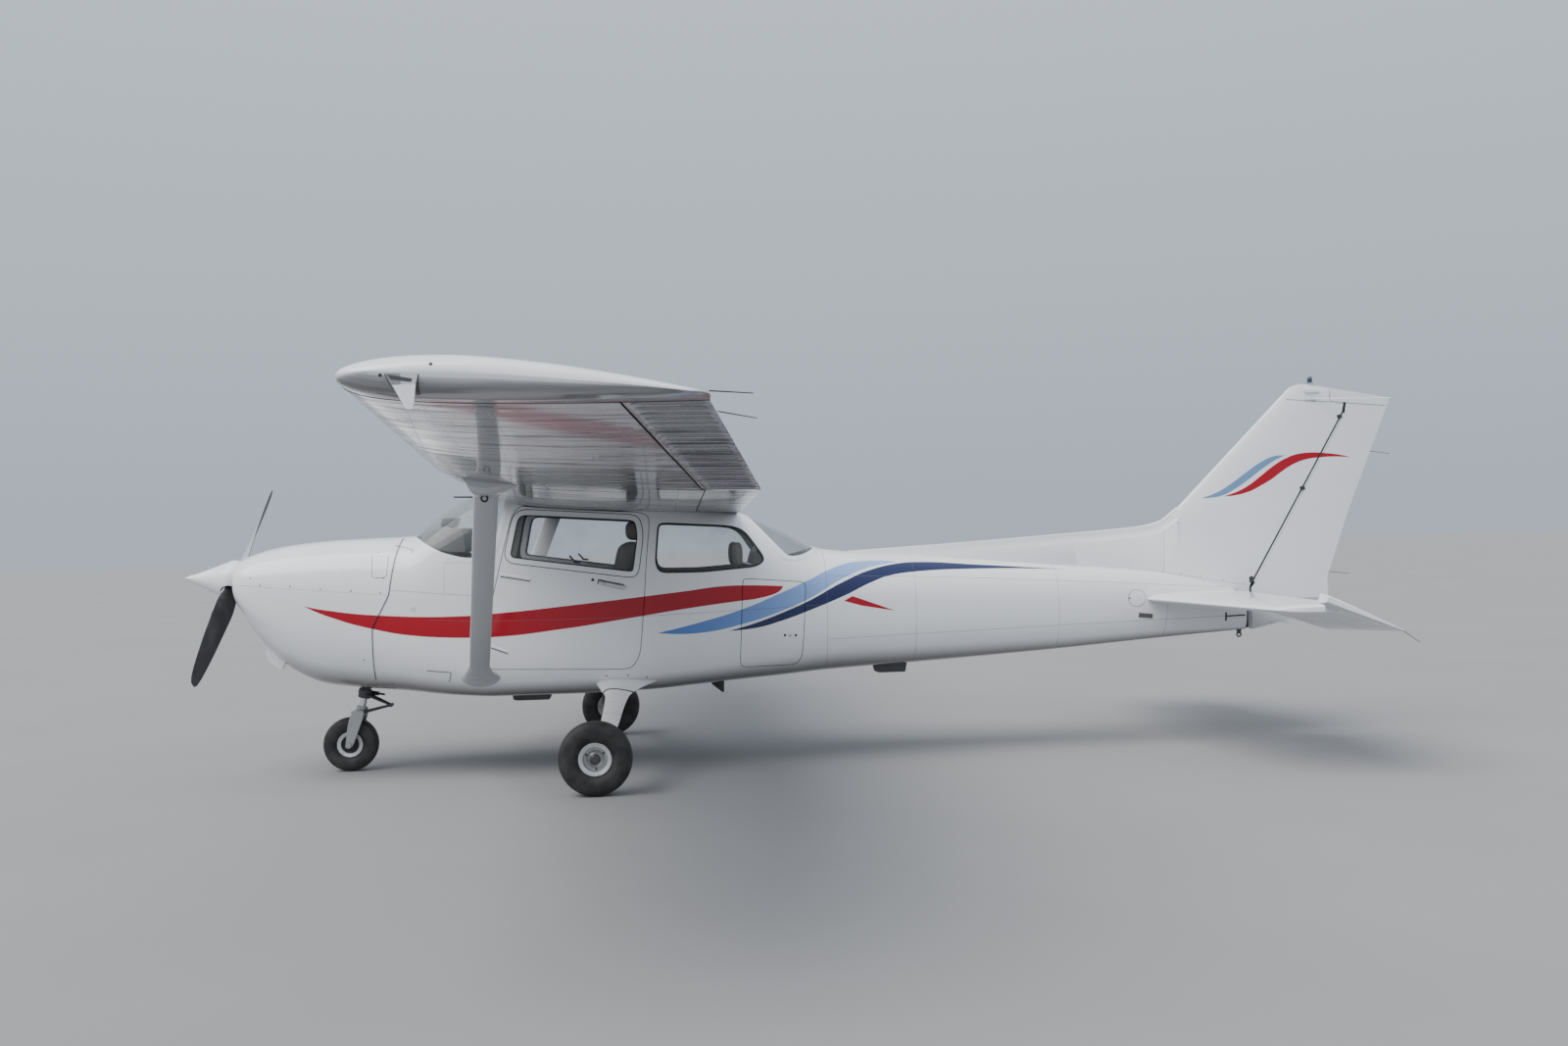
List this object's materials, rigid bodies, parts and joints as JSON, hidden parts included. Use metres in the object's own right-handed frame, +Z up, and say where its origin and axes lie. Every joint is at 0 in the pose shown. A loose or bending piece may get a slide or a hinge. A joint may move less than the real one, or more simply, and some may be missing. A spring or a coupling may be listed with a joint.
{
  "type": "light aircraft",
  "caption": "High-wing light aircraft with fixed tricycle gear, hinged doors, control surfaces, steered nose wheel and a turning propeller.",
  "frame": {"origin": "on the ground below the middle of the aircraft's length, in its plane of symmetry", "axes": "+X aft, +Y to starboard, +Z up, the aircraft standing on its wheels"},
  "size_m": [8.2857, 11, 2.512],
  "materials": {
    "airframe_paint": "gloss",
    "glass": "gloss",
    "tyre": "matte",
    "wheel_alloy": "satin",
    "bare_alloy": "satin",
    "engine_iron": "matte",
    "gear_steel": "satin",
    "propeller_paint": "satin",
    "seat_fabric": "matte",
    "cabin_trim": "matte",
    "beacon_lens": "gloss"
  },
  "bodies": {
    "airframe": {"cowl_upper": "airframe_paint", "cowl_lower": "airframe_paint", "firewall": "bare_alloy", "engine": "engine_iron", "exhaust": "gear_steel", "cabin_floor": "airframe_paint", "cabin_side_left": "airframe_paint", "cabin_side_right": "airframe_paint", "rear_bulkhead": "cabin_trim", "windscreen": "glass", "rear_window": "glass", "side_window_left": "glass", "side_window_right": "glass", "roof": "airframe_paint", "wing_left": "airframe_paint", "wing_right": "airframe_paint", "wing_tip_left": "airframe_paint", "wing_tip_right": "airframe_paint", "strut_left": "airframe_paint", "strut_right": "airframe_paint", "tail_cone": "airframe_paint", "stabilizer": "airframe_paint", "fin": "airframe_paint", "beacon": "beacon_lens", "main_gear_left": "airframe_paint", "main_gear_right": "airframe_paint", "nose_gear_barrel": "gear_steel", "front_seat_left": "seat_fabric", "front_seat_right": "seat_fabric", "rear_seat": "seat_fabric", "instrument_panel": "cabin_trim"},
    "propeller": {"propeller": "propeller_paint", "spinner": "airframe_paint"},
    "nose_fork": {"nose_fork": "gear_steel"},
    "nose_wheel": {"nose_hub": "wheel_alloy", "nose_tyre": "tyre"},
    "main_wheel_left": {"main_hub_left": "wheel_alloy", "main_tyre_left": "tyre"},
    "main_wheel_right": {"main_hub_right": "wheel_alloy", "main_tyre_right": "tyre"},
    "aileron_left": {"aileron_left": "airframe_paint"},
    "aileron_right": {"aileron_right": "airframe_paint"},
    "flap_left": {"flap_left": "airframe_paint"},
    "flap_right": {"flap_right": "airframe_paint"},
    "elevator": {"elevator": "airframe_paint"},
    "trim_tab": {"trim_tab": "airframe_paint"},
    "rudder": {"rudder": "airframe_paint"},
    "door_left": {"door_left": "airframe_paint", "door_window_left": "glass"},
    "door_right": {"door_right": "airframe_paint", "door_window_right": "glass"},
    "baggage_door": {"baggage_door": "airframe_paint"}
  },
  "joints": [
    {"name": "propeller_spin", "type": "hinge", "parent": "airframe", "child": "propeller", "pos_m": [-3.821, 0, 1.276], "axis": [-0.9962, 0, 0.0872], "continuous": true},
    {"name": "nose_steer", "type": "hinge", "parent": "airframe", "child": "nose_fork", "pos_m": [-3.003, 0, 0.5], "axis": [0.2079, 0, 0.9781], "range_deg": [-30, 30]},
    {"name": "nose_wheel_spin", "type": "hinge", "parent": "nose_fork", "child": "nose_wheel", "pos_m": [-3.097, 0, 0.177], "axis": [0, 1, 0], "continuous": true},
    {"name": "main_wheel_left_spin", "type": "hinge", "parent": "airframe", "child": "main_wheel_left", "pos_m": [-1.43, -1.281, 0.217], "axis": [0, 1, 0], "continuous": true},
    {"name": "main_wheel_right_spin", "type": "hinge", "parent": "airframe", "child": "main_wheel_right", "pos_m": [-1.43, 1.281, 0.217], "axis": [0, 1, 0], "continuous": true},
    {"name": "aileron_right_hinge", "type": "hinge", "parent": "airframe", "child": "aileron_right", "pos_m": [-0.79083, 2.557, 1.77004], "axis": [-0.1193, 0.9904, 0.0698], "range_deg": [-20, 15]},
    {"name": "aileron_left_hinge", "type": "hinge", "parent": "airframe", "child": "aileron_left", "pos_m": [-0.79083, -2.557, 1.77004], "axis": [0.1193, 0.9904, -0.0698], "range_deg": [-20, 15]},
    {"name": "flap_right_hinge", "type": "hinge", "parent": "airframe", "child": "flap_right", "pos_m": [-0.873, 0.608, 1.48], "axis": [0.0001, 0.9993, 0.0382], "range_deg": [0, 30]},
    {"name": "flap_left_hinge", "type": "hinge", "parent": "airframe", "child": "flap_left", "pos_m": [-0.873, -0.608, 1.48], "axis": [-0.0001, 0.9993, -0.0382], "range_deg": [0, 30]},
    {"name": "elevator_hinge", "type": "hinge", "parent": "airframe", "child": "elevator", "pos_m": [2.957, 0, 0.985], "axis": [0, 1, 0], "range_deg": [-51, 0]},
    {"name": "trim_tab_hinge", "type": "hinge", "parent": "elevator", "child": "trim_tab", "pos_m": [3.38059, 0.34, 0.8052], "axis": [-0.1465, 0.9872, 0.0622], "range_deg": [-22, 19]},
    {"name": "rudder_hinge", "type": "hinge", "parent": "airframe", "child": "rudder", "pos_m": [3.105, 0, 1.079], "axis": [0.5075, 0, 0.8616], "range_deg": [-17, 17]},
    {"name": "door_right_hinge", "type": "hinge", "parent": "airframe", "child": "door_right", "pos_m": [-2.128, 0.552, 0.685], "axis": [0.0523, 0, 0.9986], "range_deg": [0, 65]},
    {"name": "door_left_hinge", "type": "hinge", "parent": "airframe", "child": "door_left", "pos_m": [-2.128, -0.552, 0.685], "axis": [-0.0523, 0, -0.9986], "range_deg": [0, 65]},
    {"name": "baggage_door_hinge", "type": "hinge", "parent": "airframe", "child": "baggage_door", "pos_m": [-0.533, -0.513, 0.665], "axis": [-0.0523, 0, -0.9986], "range_deg": [0, 90]}
  ],
  "couplings": [
    {"joint": "flap_left_hinge", "follows": "flap_right_hinge", "ratio": 1}
  ]
}
